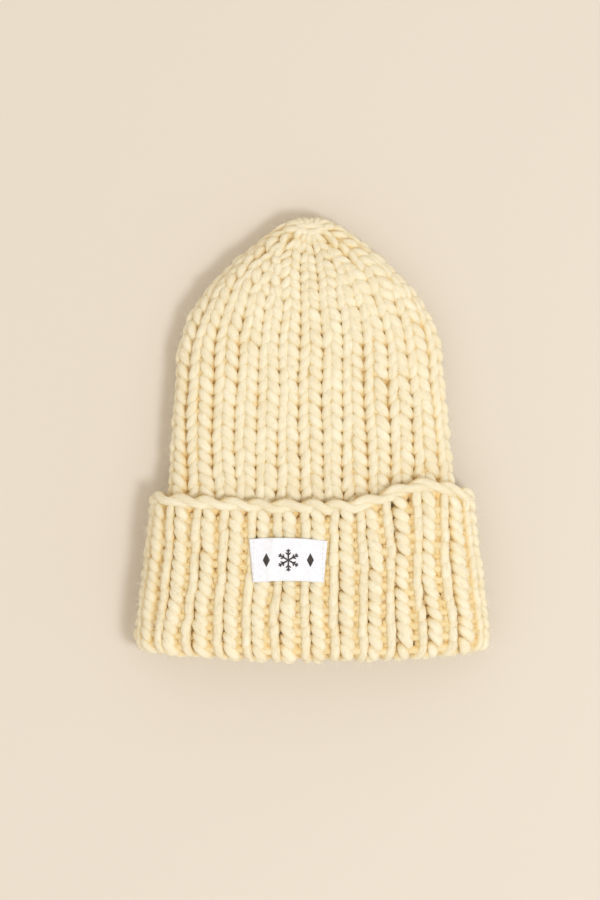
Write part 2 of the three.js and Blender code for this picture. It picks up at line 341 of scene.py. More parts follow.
def course(surface, period, centres, distance, row, times, rng, plump=1.0):
    """One course round the hat, over ribs centred at these turns: points, radii, distances out
    of the fabric and its normals."""
    ribs = len(centres)
    control = np.tile(period, (ribs, 1))
    stitch = np.repeat(np.arange(2 * ribs), SPANS)
    wander = rng.normal(0, 1, (4, 2 * ribs))[:, stitch]
    for column, amount in enumerate(UNEVEN):
        control[:, column] += amount * wander[column]
    all_times = (np.arange(ribs)[:, None] * len(period) + times).ravel()
    across, up, out, thick = catmull(control, all_times).T
    rib = (all_times // len(period)).astype(int)
    here = centres[rib]
    after = np.append(centres[1:], centres[0] + 1)[rib] - here
    before = here - np.insert(centres[:-1], 0, centres[-1] - 1)[rib]
    turn = here + across / 4 * np.where(across > 0, after, before)
    points, normal = on_surface(surface, turn, distance + up * row, out)
    return points, thick * YARN * plump, out, normal


TWIST_LENGTH = 55.0      # of yarn to each turn of its twist
STRAND_GAP = 137.0       # sets the strands apart in the fibre coordinates
ANY_WAY = (0.3, 0.5, 0.8)   # a direction that no yarn starts along


def tube(points, radii, sides):
    """A closed tube round a closed path, and its fibre coordinates: along the yarn and round it."""
    count = len(points)
    tangent = np.roll(points, -1, 0) - np.roll(points, 1, 0)
    tangent /= np.linalg.norm(tangent, axis=1, keepdims=True)
    carried = np.empty_like(points)
    arm = np.cross(tangent[0], ANY_WAY)
    for i in range(count):
        arm = arm - tangent[i] * np.dot(arm, tangent[i])
        arm = arm / np.linalg.norm(arm)
        carried[i] = arm
    side = np.cross(tangent, carried)
    last = arm - tangent[0] * np.dot(arm, tangent[0])
    closing = math.atan2(np.dot(last, side[0]), np.dot(last, carried[0]))
    angle = np.arange(sides) / sides * 2 * math.pi - closing * np.arange(count)[:, None] / count
    ring = np.cos(angle)[..., None] * carried[:, None] + np.sin(angle)[..., None] * side[:, None]
    verts = points[:, None] + ring * radii[:, None, None]
    length = np.cumsum(np.linalg.norm(np.roll(points, -1, 0) - points, axis=1))[:, None]
    twist = angle + length / TWIST_LENGTH * 2 * math.pi
    fibre = np.stack([length + 0 * angle, YARN * np.cos(twist), YARN * np.sin(twist)], -1)
    index = np.arange(count * sides).reshape(count, sides)
    after = np.roll(index, -1, 0)
    faces = np.stack([index, after, np.roll(after, -1, 1), np.roll(index, -1, 1)], -1)
    return verts.reshape(-1, 3), faces.reshape(-1, 4), fibre.reshape(-1, 3)


TIP_RADIUS = 10.0        # the middle layer's rounded end, and the height of its centre
TIP_MIDDLE = 15.6
TIP_OVER = 11.5          # how far over the end, on to the front, the gathered point lies
TIP_OVER_HALF_WIDTH = 26.0
TIP_OVER_REACH = 40.0
TIP_OVER_LEAST = 1e-3    # yarn with a smaller share in the slide stays where it is
EDGE_WIDTHS = section(ALONGS)[0]


def over_tip(points):
    """Slides the crown's yarn over its rounded end, so that the gathered point shows from above."""
    x, y, z = points.T
    edge = np.interp(np.abs(x - LEAN), EDGE_WIDTHS[::-1], ALONGS[::-1])
    middle = np.minimum(edge, HAT_LENGTH - SKIN) - TIP_RADIUS - HAT_LENGTH / 2
    ahead, above = y - middle, z - TIP_MIDDLE
    quarter = math.pi / 2 * TIP_RADIUS
    angle = np.arctan2(above, np.maximum(ahead, 0))
    place = angle * TIP_RADIUS - np.sign(above) * np.minimum(ahead, 0)
    radius = np.where(ahead < 0, np.abs(above), np.hypot(ahead, above))
    near = np.exp(-((x - LEAN) / TIP_OVER_HALF_WIDTH) ** 2 - (place / TIP_OVER_REACH) ** 2)
    place = place + TIP_OVER * near
    angle = np.clip(place, -quarter, quarter) / TIP_RADIUS
    beyond = np.maximum(np.abs(place) - quarter, 0)
    moved_y = middle + radius * np.cos(angle) - beyond
    moved_z = TIP_MIDDLE + radius * np.sin(angle)
    moved = np.stack([x, moved_y, moved_z], -1)
    return np.where((near > TIP_OVER_LEAST)[:, None], moved, points)


SETTLE_SOFT = 1.2        # how gently the yarn flattens on the table
SETTLE_BELOW = 6 * SETTLE_SOFT   # above this height it isn't touched


def settle(points):
    """The table flattens what would reach below it."""
    z = points[:, 2]
    flattened = SETTLE_SOFT * np.logaddexp(0, z / SETTLE_SOFT)
    points[:, 2] = np.where(z < SETTLE_BELOW, flattened, z)
    return points


def add_mesh(name, verts, faces, material, slot, **attributes):
    """A smooth mesh piece from arrays, with these attributes on its points, riding on the hat."""
    mesh = bpy.data.meshes.new(name)
    mesh.vertices.add(len(verts))
    mesh.vertices.foreach_set("co", (verts * MM).astype(np.float32).ravel())
    mesh.loops.add(faces.size)
    mesh.loops.foreach_set("vertex_index", faces.astype(np.int32).ravel())
    mesh.polygons.add(len(faces))
    mesh.polygons.foreach_set("loop_start", np.arange(0, faces.size, faces.shape[1], dtype=np.int32))
    for key, values in attributes.items():
        vector = values.ndim == 2
        layer = mesh.attributes.new(key, "FLOAT_VECTOR" if vector else "FLOAT", "POINT")
        layer.data.foreach_set("vector" if vector else "value", values.astype(np.float32).ravel())
    mesh.update(calc_edges=True)
    mesh.shade_smooth()
    mesh.materials.append(material)
    piece = bpy.data.objects.new(name, mesh)
    bpy.context.collection.objects.link(piece)
    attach(piece, "root")
    return piece


def joined(shapes):
    """Several meshes' points and faces as one mesh's."""
    verts, faces = zip(*shapes)
    starts = np.cumsum([0] + [len(v) for v in verts[:-1]])
    return np.concatenate(verts), np.concatenate([f + start for f, start in zip(faces, starts)])


def yarn_piece(name, strands, sides, material):
    """One mesh of several closed strands, each given as a course is."""
    shapes, fibres, depths = [], [], []
    for number, (points, radii, out, normal) in enumerate(strands):
        verts, faces, fibre = tube(points, radii, sides)
        fibre[:, 0] += STRAND_GAP * number
        # each point's depth out of the fabric's middle, which sets how much painted crevice shade the
        # wool gets
        from_core = verts - np.repeat(points, sides, 0)
        further_out = (from_core * np.repeat(normal, sides, 0)).sum(1)
        depths.append(np.abs(np.repeat(out, sides) + further_out))
        shapes.append((settle(over_tip(verts)), faces))
        fibres.append(fibre)
    return add_mesh(name, *joined(shapes), material, "wool_knit",
                    fibre=np.concatenate(fibres), depth=np.concatenate(depths))


# ---- The knitting ----

KNIT_SEED = 7
SWAY = 0.2               # how far the ribs stray sideways, before that is smoothed, in ribs
SWAY_SMOOTHING = 8       # rounds of it
SIDES = 8                # of the yarn, and of the yarn that the cuff hides
HIDDEN_SIDES = 6
HIDDEN_BELOW = 12        # the hidden yarn ends this far under the cuff's top

ROW = 7.4                # the rows' heights, on the body and on the cuff
CUFF_ROW = 6.5
CUFF_FIRST_ROW = 0.3     # the cuff's first row starts this far down, in rows
CUFF_SHARE = 0.6         # of its rows in the piece above the fold
CROWN_RIBS = (26, 24, 22, 19, 16, 13, 10, 7)
CROWN_LEFT_OVER = 0.55   # from the crown's last row to the gathered end, in rows
DECREASE_SHIFT = 0.382   # from one row's decreases to the next one's, so that they spread out
PAIR_PULL = 0.42         # how far two ribs lean together just before they are knitted into one
EVEN_OUT = 0.4           # how fast the ribs even out after a decrease
PLUMP_LEAST = 0.58       # the crown's yarn is drawn thinner as its ribs get fewer
PLUMP_GAIN = 0.45


def merge_ribs(centres, count, phase):
    """Knits pairs of ribs together until count are left, and leans the old pairs together."""
    merges = len(centres) - count
    spread = (np.arange(merges) + phase) * len(centres) / max(merges, 1)
    firsts = set((np.floor(spread) % len(centres)).astype(int))
    leaning, merged, i = centres.copy(), [], 0
    while i < len(centres):
        if i in firsts and i + 1 < len(centres):
            middle = (centres[i] + centres[i + 1]) / 2
            leaning[i:i + 2] += (middle - leaning[i:i + 2]) * PAIR_PULL
            merged.append(middle)
            i += 2
        else:
            merged.append(centres[i])
            i += 1
    return leaning, np.array(merged)


RIB_CENTRES = (np.arange(RIBS) + 0.5) / RIBS


def crown_centres():
    """The ribs' places in each row of the crown."""
    centres = RIB_CENTRES
    rows = []
    for k, count in enumerate(CROWN_RIBS):
        if rows:
            rows[-1], centres = merge_ribs(centres, count, (k * DECREASE_SHIFT) % 1)
        gaps = np.diff(np.append(centres, centres[0] + 1))
        gaps += (gaps.mean() - gaps) * EVEN_OUT
        centres = centres[0] + np.concatenate([[0], np.cumsum(gaps[:-1])])
        rows.append(centres)
    return rows


def sway(rng, rows):
    """How far each rib strays sideways in each row, in turns: a slow wander up the hat."""
    stray = rng.normal(0, SWAY / RIBS, (rows + 2 * SWAY_SMOOTHING, RIBS))
    for _ in range(SWAY_SMOOTHING):
        stray = (stray[:-2] + 2 * stray[1:-1] + stray[2:]) / 4
    return stray


def body_courses(rng):
    """The body's courses from the brim up, and the crown's. The cuff hides the first few."""
    outside = sample_times(True, False)
    period = body_period()
    crown_rows = crown_centres()
    crown_start = BODY_LENGTH - ROW * (len(crown_rows) + CROWN_LEFT_OVER)
    count = int(round((crown_start - FOLD_CENTRE) / ROW))
    row = (crown_start - FOLD_CENTRE) / count
    body = [course(body_surface, period, RIB_CENTRES + stray, FOLD_CENTRE + k * row, row, outside, rng)
            for k, stray in enumerate(sway(rng, count))]
    hidden = int((CUFF_LOW - HIDDEN_BELOW - FOLD_CENTRE) / row)
    crown = []
    for k, ribs in enumerate(crown_rows):
        plump = min(1.0, PLUMP_LEAST + PLUMP_GAIN * len(ribs) / RIBS)
        start = crown_start + k * ROW
        crown.append(course(body_surface, period, ribs, start, ROW, outside, rng, plump))
    return body, crown, hidden


def cuff_courses(rng):
    """The cuff's courses from its top edge down and round the fold, turned inside out."""
    inside = sample_times(False, True)
    length = CUFF_MEAN - FOLD_CENTRE + FOLD_LENGTH
    count = int(round(length / CUFF_ROW))
    row = length / count
    return [course(brim_surface, cuff_period(), RIB_CENTRES + stray, (k + CUFF_FIRST_ROW) * row, row,
                   inside, rng)
            for k, stray in enumerate(sway(rng, count))]


def build_knit(wool, fuzz):
    rng = np.random.default_rng(KNIT_SEED)
    body, crown, hidden = body_courses(rng)
    cuff = cuff_courses(rng)
    split = (hidden + len(body)) // 2
    turned = int(len(cuff) * CUFF_SHARE)
    parts = (
        ("knit_body_under_cuff", body[:hidden], HIDDEN_SIDES, "ribbed_body"),
        ("knit_body_lower", body[hidden:split], SIDES, None),
        ("knit_body_upper", body[split:], SIDES, None),
        ("knit_crown", crown, SIDES, "crown"),
        ("knit_cuff", cuff[:turned], SIDES, "turned_up_cuff"),
        ("knit_cuff_fold", cuff[turned:], SIDES, "cuff_fold"),
        ("knit_cast_on", cast_on(rng), SIDES, "cast_on_edge"),
        ("knit_gather", gather(), SIDES, "crown_gather_yarn"),
    )
    for name, strands, sides, solid in parts:
        piece = yarn_piece(name, strands, sides, wool)
        if solid:
            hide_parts(solid)
    build_fuzz("knit_fuzz_body", body[hidden:] + crown, 1, fuzz)
    build_fuzz("knit_fuzz_cuff", cuff, -1, fuzz)


HAIRS = 9000             # on the body, and as many on the cuff
HAIR_LENGTH = (2.5, 7.0)
HAIR_RADIUS = 0.07
HAIR_TAPER = np.array([1.0, 0.85, 0.4])   # at each of its points
HAIR_CURL = 0.5
HAIR_SEED = 11
HAIR_SPREAD = 0.7        # how far round the yarn they start, to either side
HAIR_BURIED = 0.9        # of the yarn's radius: where they start
HAIR_LIFT = 0.3          # how strongly they turn away from the yarn at each point
ASKEW = 0.1              # keeps a reference direction off the fibre's own


def unit(vectors):
    return vectors / np.linalg.norm(vectors, axis=-1, keepdims=True)


def hair_roots(strands, facing, rng):
    """Places on the yarn's visible side, the way out of it there, and the yarn's direction."""
    points, radii, out, normal = (np.concatenate(part) for part in zip(*strands))
    aside = np.abs(points[:, :2] - (LABEL_X, LABEL_Y)) - LABEL_HALF
    under_label = (aside.max(1) < HAIR_LENGTH[1]) & (points[:, 2] > CUFF_Z)
    picked = rng.choice(np.flatnonzero((facing * out > 0) & ~under_label), HAIRS)
    ahead = unit(np.roll(points, -1, 0) - points)[picked]
    outward = facing * normal[picked]
    away = unit(outward + rng.normal(0, HAIR_SPREAD, (HAIRS, 1)) * np.cross(ahead, outward))
    return points[picked] + away * radii[picked, None] * HAIR_BURIED, away, ahead


def hair_paths(place, away, ahead, rng):
    """Each fibre's points: it leaves slantwise along the yarn and curls as it goes."""
    heading = unit(away + rng.choice((-1, 1), (HAIRS, 1)) * ahead)
    step = rng.uniform(*HAIR_LENGTH, (HAIRS, 1)) / (len(HAIR_TAPER) - 1)
    path = [place]
    for _ in HAIR_TAPER[1:]:
        path.append(path[-1] + heading * step)
        heading = unit(heading + rng.normal(0, HAIR_CURL, (HAIRS, 3)) + HAIR_LIFT * away)
    return np.stack(path, 1)


def build_fuzz(name, strands, facing, material):
    """Loose fibres that stand off the yarn on the outside of the hat, each a three-sided tube."""
    rng = np.random.default_rng(HAIR_SEED)
    place, away, ahead = hair_roots(strands, facing, rng)
    path = hair_paths(place, away, ahead, rng)
    line = path[:, -1] - path[:, 0]
    first = unit(np.cross(line, away + ASKEW))
    second = unit(np.cross(line, first))
    corner = np.arange(3) * 2 * math.pi / 3
    ring = np.cos(corner)[:, None] * first[:, None] + np.sin(corner)[:, None] * second[:, None]
    verts = path[:, :, None] + ring[:, None] * (HAIR_RADIUS * HAIR_TAPER)[:, None, None]
    index = np.arange(3 * len(HAIR_TAPER)).reshape(-1, 3)
    low, high = index[:-1], index[1:]
    low_next, high_next = np.roll(low, -1, 1), np.roll(high, -1, 1)
    halves = (low, low_next, high_next), (low, high_next, high)
    walls = np.concatenate([np.stack(half, -1) for half in halves])
    one = np.concatenate([walls.reshape(-1, 3), [index[0][::-1], index[-1]]])
    faces = (one + index.size * np.arange(HAIRS)[:, None, None]).reshape(-1, 3)
    add_mesh(name, settle(over_tip(verts.reshape(-1, 3))), faces, material, "wool_knit")


CAST_ON_STEPS = 12       # points of the cast-on yarn to each rib
CAST_ON_PLACE = 0.3      # below the cuff's top
CAST_ON_SPREAD = (1.9, 1.7)   # its two strands from the twist's middle: up the cuff, out of it
CAST_ON_SINK = 1.2       # how far the twist lies into the fabric
CAST_ON_SCALLOP = 0.6    # its rise over each rib
CAST_ON_UNEVEN = (1.1, 0.8)   # of its twist and of its height
CAST_ON_WAVES = range(3, 12)   # the waves round the hat that make up the unevenness
CAST_ON_THICK = (0.86, 0.05, 17)   # its thickness, how much that varies, and how often round


def cast_on(rng):
    """Two strands twisted together round the cuff's top edge, half a turn to each rib."""
    turn = np.arange(RIBS * CAST_ON_STEPS) / (RIBS * CAST_ON_STEPS)
    whole = turn * 2 * math.pi
    uneven = sum(rng.normal() / wave * np.sin(whole * wave + rng.uniform(0, 6))
                 for wave in CAST_ON_WAVES)
    thickness, variation, waves = CAST_ON_THICK
    strands = []
    for start in (0, math.pi):
        phase = whole * RIBS / 2 + start + CAST_ON_UNEVEN[0] * uneven
        distance = CAST_ON_PLACE - CAST_ON_SPREAD[0] * np.cos(phase)
        distance = distance - CAST_ON_SCALLOP * np.cos(whole * RIBS) + CAST_ON_UNEVEN[1] * uneven
        out = -CAST_ON_SPREAD[1] * np.sin(phase) - CAST_ON_SINK
        points, normal = on_surface(brim_surface, turn, distance, out)
        thick = YARN * (thickness + variation * np.sin(whole * waves + start))
        strands.append((points, thick, out - CAST_ON_SINK, normal))
    return strands


GATHER_POINTS = 20
GATHER_BEFORE_END = 3.2  # from the end of the fabric
GATHER_OUT = 2.2         # out of it
GATHER_THICK = 0.8       # of the yarn's own thickness, as it is drawn tight
# the depth handed to the painted crevice shade, above the ring's real one, so it gets no more painted
# shade than the yarn's outside
GATHER_PAINTED_SHADE_DEPTH = 5.0       # it lies in full view, so it is as pale as the yarn's outside


def gather():
    """The yarn drawn through the last stitches, a small tight ring at the tip."""
    turn = np.arange(GATHER_POINTS) / GATHER_POINTS
    distance, out, radii, depths = (
        np.full(GATHER_POINTS, value)
        for value in (BODY_LENGTH - GATHER_BEFORE_END, GATHER_OUT, YARN * GATHER_THICK, GATHER_PAINTED_SHADE_DEPTH))
    points, normal = on_surface(body_surface, turn, distance, out)
    return [(points, radii, depths, normal)]


# ---- The label ----

LABEL_BOX = [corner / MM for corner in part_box("woven_label")]
LABEL_X = (LABEL_BOX[0].x + LABEL_BOX[1].x) / 2
LABEL_Y = (LABEL_BOX[0].y + LABEL_BOX[1].y) / 2
LABEL_HALF = (LABEL_BOX[1].x - LABEL_X, LABEL_BOX[1].y - LABEL_Y)
LABEL_NARROWING = 0.045  # towards its lower edge
LABEL_THICK = 0.4
LABEL_HEM = 6.0          # turned under at both ends
HEM_RADIUS = 0.5
LABEL_CLEAR = 0.3        # between the label's back and the knitting
LABEL_SHORT = 0.97       # its straight part, as a share of its height
LABEL_ARCH = (1.3, 0.9)  # how far its upper and its lower edge bow out
LABEL_ARCH_PLACE = -0.22   # where the upper edge bows out most
CREASE = 0.75            # the crease's height, then its place, slant and width
CREASE_PLACE = -0.44
CREASE_SLANT = 0.05
CREASE_WIDTH = 0.10
LABEL_WAVES = ((0.42, 3.9, 0.9, 0.8), (0.22, 9.0, 0.0, -1.5))   # height, across, start, up
LABEL_CURL = 0.5         # its upper edge curls up by this, and its ends down


def label_lift(x, y):
    """The label's height: it bridges the ribs, with a soft crease left of its middle."""
    u, v = (x - LABEL_X) / LABEL_HALF[0], (y - LABEL_Y) / LABEL_HALF[1]
    _, half, centre = section(np.array(LABEL_Y + HAT_LENGTH / 2))
    rest = float(centre + half) + CUFF_OUT + SKIN + 2 * HEM_RADIUS + LABEL_CLEAR
    crease = CREASE * np.exp(-((u - CREASE_PLACE - CREASE_SLANT * v) / CREASE_WIDTH) ** 2)
    wave = sum(height * np.sin(across * u + start + up * v) for height, across, start, up in LABEL_WAVES)
    curl = LABEL_CURL * np.maximum(v, 0) ** 3 * (1 - u ** 2) - LABEL_CURL * np.abs(u) ** 3
    return rest + crease + wave + curl


def label_point(along_strip, v):
    """A point of the label by the distance along its strip, hems and all, and v from -1 to 1."""
    half = LABEL_HALF[0] * (1 + LABEL_NARROWING * (v - 1))
    turn_length = math.pi * HEM_RADIUS
    flat = np.clip(along_strip, -half, half)
    past = np.clip(np.abs(along_strip) - half, 0, turn_length)
    back = np.maximum(np.abs(along_strip) - half - turn_length, 0)
    angle = past / HEM_RADIUS
    side = np.sign(along_strip)
    x = LABEL_X + flat + side * (HEM_RADIUS * np.sin(angle) - back)
    u = flat / half
    upper = LABEL_ARCH[0] * (1 - (u - LABEL_ARCH_PLACE) ** 2)
    lower = LABEL_ARCH[1] * (1 - u ** 2)
    arch = np.where(v > 0, upper, lower) * np.abs(v)
    y = LABEL_Y + v * LABEL_HALF[1] * LABEL_SHORT + arch
    z = label_lift(x, y) - HEM_RADIUS * (1 - np.cos(angle))
    return np.stack([x, y, z], -1)


def sheet_solid(points, thick):
    """A closed solid of a given thickness from a grid of points on its middle surface."""
    rows, columns = points.shape[:2]
    tangents = np.gradient(points, axis=0), np.gradient(points, axis=1)
    normal = np.cross(*tangents)
    normal /= np.linalg.norm(normal, axis=-1, keepdims=True) + 1e-9
    verts = np.concatenate([(points + normal * thick / 2).reshape(-1, 3),
                            (points - normal * thick / 2).reshape(-1, 3)])
    index = np.arange(rows * columns).reshape(rows, columns)
    top = np.stack([index[:-1, :-1], index[1:, :-1], index[1:, 1:], index[:-1, 1:]], -1).reshape(-1, 4)
    under = top[:, ::-1] + rows * columns
    rim = np.concatenate([index[0, :-1], index[:-1, -1], index[-1, :0:-1], index[:0:-1, 0]])
    after = np.roll(rim, -1)
    wall = np.stack([rim, after, after + rows * columns, rim + rows * columns], -1)
    return verts, np.concatenate([top, under, wall])


FOLD_POINTS = 9          # round each of the label's folds, along its face and across it
FACE_POINTS = 61
ACROSS_POINTS = 31


def build_label(material):
    reach = LABEL_HALF[0] + math.pi * HEM_RADIUS + LABEL_HEM
    turns = np.linspace(-1, 1, FOLD_POINTS) * math.pi * HEM_RADIUS / 2
    folds = LABEL_HALF[0] + math.pi * HEM_RADIUS / 2 + turns
    middle = np.linspace(-LABEL_HALF[0], LABEL_HALF[0], FACE_POINTS)
    strip = np.concatenate([[-reach], -folds[::-1], middle[1:-1], folds, [reach]])
    across, along_strip = np.meshgrid(np.linspace(-1, 1, ACROSS_POINTS), strip)
    points = label_point(along_strip, across)
    verts, faces = sheet_solid(points, LABEL_THICK)
    weave = np.stack([along_strip, across * LABEL_HALF[1], 0 * across], -1).reshape(-1, 3)
    label = add_mesh("label", verts, faces, material, "label_cloth", weave=np.tile(weave, (2, 1)))
    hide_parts("woven_label")


MOTIF_UNDER = -0.1       # the motif's two sides, from the label's middle surface
MOTIF_TOP = 0.32


def ribbon(start, end, half_widths):
    """A closed flat stroke of woven thread on the label between two places."""
    count = len(half_widths)
    line = np.linspace(start, end, count)
    ahead = np.subtract(end, start) / np.linalg.norm(np.subtract(end, start))
    aside = np.array([-ahead[1], ahead[0]])
    rings = []
    for place, half in zip(line, half_widths):
        left, right = place + aside * half, place - aside * half
        corners = (left, MOTIF_UNDER), (left, MOTIF_TOP), (right, MOTIF_TOP), (right, MOTIF_UNDER)
        for point, lift in corners:
            rings.append((*point, label_lift(*point) + lift))
    index = np.arange(4 * count).reshape(count, 4)
    turned = np.roll(index, -1, 1)
    faces = np.stack([index[:-1], turned[:-1], turned[1:], index[1:]], -1)
    ends = [index[0][::-1], index[-1]]
    return np.array(rings), np.concatenate([faces.reshape(-1, 4), ends])


def stroke_piece(name, strokes, material, solid):
    shapes = [ribbon(*stroke) for stroke in strokes]
    piece = add_mesh(name, *joined(shapes), material, "motif_thread")
    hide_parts(solid)


MOTIF_UP = 0.6           # from the label's middle to the motif's
SNOWFLAKE_RADIUS = 7.0
STROKE = 0.5             # half the width of a stroke
BLUNT = (0.45, 1, 1, 1, 1, 0.45)   # its shape, with both ends narrower
BRANCHES = ((0.45, 2.2), (0.74, 1.7))   # how far out on the arm, and how long
BRANCH_THIN = 0.85
DIAMOND = (8.4, 2.1)     # height, half-width
DIAMOND_PLACE = 13.6     # either side of the snowflake
DIAMOND_POINT = 0.1      # half the width of its points
DIAMOND_ROWS = 9


def direction_of(angle):
    return np.array([math.cos(angle), math.sin(angle)])


def build_motif(material):
    """A plain snowflake between two diamonds, in the place of the maker's letters."""
    middle = np.array([LABEL_X, LABEL_Y + MOTIF_UP])
    blunt = STROKE * np.array(BLUNT)
    strokes = []
    for arm in range(6):
        angle = math.pi / 2 + arm * math.pi / 3
        ahead = direction_of(angle)
        strokes.append((middle, middle + ahead * SNOWFLAKE_RADIUS, blunt))
        for place, length in BRANCHES:
            fork = middle + ahead * SNOWFLAKE_RADIUS * place
            for side in (-1, 1):
                end = fork + direction_of(angle + side * math.pi / 4) * length
                strokes.append((fork, end, blunt * BRANCH_THIN))
    stroke_piece("label_motif_snowflake", strokes, material, "label_snowflake")
    height, widest = DIAMOND
    shape = DIAMOND_POINT + widest * (1 - np.abs(np.linspace(-1, 1, DIAMOND_ROWS)))
    for name, side in (("left", -1), ("right", 1)):
        place = middle + (side * DIAMOND_PLACE, 0)
        ends = place - (0, height / 2), place + (0, height / 2)
        stroke_piece(f"label_motif_diamond_{name}", [(*ends, shape)], material, f"label_diamond_{name}")


COTTON = 0.26            # the sewing thread's radius
LOOP_POINTS = 12
LOOP_SIDES = 6
LOOP = (0.1, 0.95, 0.9)  # each loop's half-size across the label, up it and through it
LOOP_SUNK = 0.5          # its middle lies this far under the label's face
LOOPS = np.linspace(-0.84, 0.84, 8)   # where they are up the label's height
LOOP_INSET = 2.2         # from the label's end


def build_stitching(material):
    """Loops of sewing thread through the label's two hems and the knitting."""
    angle = np.arange(LOOP_POINTS) / LOOP_POINTS * 2 * math.pi
    thick = np.full(LOOP_POINTS, COTTON)
    for name, side in (("left", -1), ("right", 1)):
        shapes = []
        for step in LOOPS:
            x, y, _ = label_point(np.array(side * (LABEL_HALF[0] - LOOP_INSET)), np.array(step))
            across = x + LOOP[0] * np.cos(angle)
            up = y + LOOP[1] * np.cos(angle)
            height = label_lift(x, up) + LOOP[2] * np.sin(angle) - LOOP_SUNK
            shapes.append(tube(np.stack([across, up, height], -1), thick, LOOP_SIDES)[:2])
        piece = add_mesh(f"sewing_stitches_{name}", *joined(shapes), material, "sewing_thread")
        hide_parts(f"label_thread_{name}")


# ---- Materials ----

BASE_COLOUR = "Base Color"
GLOSS = "Specular IOR Level"
SHEEN = "Sheen Weight"
WHITE = (1.0, 1.0, 1.0)


def set_inputs(made, values):
    for key, value in values.items():
        made.inputs[key].default_value = value


def node(tree, kind, **values):
    """A shader node with its input sockets set by name."""
    made = tree.nodes.new(kind)
    set_inputs(made, values)
    return made


def new_material(name, values):
    """A material, its node tree and its shader, with the shader's constant values."""
    mat = bpy.data.materials.new(name)
    mat.use_nodes = True
    shader = mat.node_tree.nodes["Principled BSDF"]
    set_inputs(shader, values)
    return mat, mat.node_tree, shader


def attribute(tree, name):
    made = tree.nodes.new("ShaderNodeAttribute")
    made.attribute_name = name
    return made.outputs


def noise_at(tree, place, **values):
    noise = node(tree, "ShaderNodeTexNoise", **values)
    tree.links.new(place, noise.inputs["Vector"])
    return noise.outputs["Fac"]


STRAND_ROUGHNESS = 0.62


def fibre_noise(tree, fibre, stretch, scale, detail):
    """Noise drawn out along the yarn, so that it runs in strands."""
    mapped = tree.nodes.new("ShaderNodeVectorMath")
    mapped.operation = "MULTIPLY"
    mapped.inputs[1].default_value = stretch
    tree.links.new(fibre, mapped.inputs[0])
    return noise_at(tree, mapped.outputs[0], Scale=scale, Detail=detail, Roughness=STRAND_ROUGHNESS)


def coloured(tree, level, *stops):
    """The level as a colour, between these places and their colours."""
    ramp = tree.nodes.new("ShaderNodeValToRGB")
    elements = ramp.color_ramp.elements
    while len(elements) < len(stops):
        elements.new(0.5)
    for element, (place, colour) in zip(elements, stops):
        element.position = place
        element.color = (*colour, 1)
    tree.links.new(level, ramp.inputs["Fac"])
    return ramp.outputs["Color"]


def multiplied(tree, first, second):
    made = tree.nodes.new("ShaderNodeMix")
    made.data_type = "RGBA"
    made.blend_type = "MULTIPLY"
    made.inputs["Factor"].default_value = 1.0
    colours = [socket for socket in made.inputs if socket.type == "RGBA"]
    for socket, source in zip(colours, (first, second)):
        tree.links.new(source, socket)
    return next(socket for socket in made.outputs if socket.type == "RGBA")


def bump(tree, height, strength, distance, under=None):
    """Relief of this height in mm, on top of another relief if one is given."""
    made = node(tree, "ShaderNodeBump", Strength=strength, Distance=distance * MM)
    tree.links.new(height, made.inputs["Height"])
    if under is not None:
        tree.links.new(under, made.inputs["Normal"])
    return made.outputs["Normal"]


# How the three fibre noises are stretched along the yarn and round it, their scale and detail.
STRANDS = ((0.10, 1.0, 1.0), 1.6, 6)
FINE_HAIRS = ((0.22, 2.6, 2.6), 2.4, 3)
PATCHES = ((0.05, 0.10, 0.10), 1.0, 2)
WOOL_TONES = (0.30, (0.91, 0.81, 0.55)), (0.62, (0.965, 0.91, 0.725))
WOOL_DRIFT = (0.35, (0.94, 0.91, 0.85)), (0.65, WHITE)
# Painted shade and warm bounced light: the yarn's colour is darker and warmer towards the fabric's
# middle, in the crevices between stitches.
PAINTED_CREVICE_SHADE = (0.0, (0.97, 0.70, 0.36)), (0.5, (0.97, 0.84, 0.58)), (0.9, WHITE)
# the depths from the fabric's middle over which the painted crevice shade fades out to none
PAINTED_SHADE_DEPTHS = (-1.0, 5.0)   # from the fabric's middle
STRAND_RELIEF = (0.55, 0.9)    # strength, and height in mm
HAIR_RELIEF = (0.5, 0.35)


def wool_material():
    mat, tree, shader = new_material("wool", {
        "Roughness": 0.95, GLOSS: 0.1, SHEEN: 0.4, "Sheen Roughness": 0.55,
        "Sheen Tint": (1.0, 0.94, 0.8, 1)})
    fibre = attribute(tree, "fibre")["Vector"]
    strands = fibre_noise(tree, fibre, *STRANDS)
    hairs = fibre_noise(tree, fibre, *FINE_HAIRS)
    patches = fibre_noise(tree, fibre, *PATCHES)
    # painted shade: each point's depth out of the fabric's middle picks a darker, warmer colour in the
    # crevices
    level = tree.nodes.new("ShaderNodeMapRange")
    set_inputs(level, {"From Min": PAINTED_SHADE_DEPTHS[0], "From Max": PAINTED_SHADE_DEPTHS[1]})
    tree.links.new(attribute(tree, "depth")["Fac"], level.inputs["Value"])
    tone = coloured(tree, strands, *WOOL_TONES)
    drift = coloured(tree, patches, *WOOL_DRIFT)
    painted_crevice_shade = coloured(tree, level.outputs["Result"], *PAINTED_CREVICE_SHADE)
    # the wool's own tone and patches, times the painted crevice shade
    colour = multiplied(tree, multiplied(tree, tone, drift), painted_crevice_shade)
    tree.links.new(colour, shader.inputs[BASE_COLOUR])
    relief = bump(tree, strands, *STRAND_RELIEF)
    tree.links.new(bump(tree, hairs, *HAIR_RELIEF, relief), shader.inputs["Normal"])
    return mat


FUZZ_TONES = (0.35, (0.94, 0.86, 0.66)), (0.65, (0.97, 0.92, 0.78))


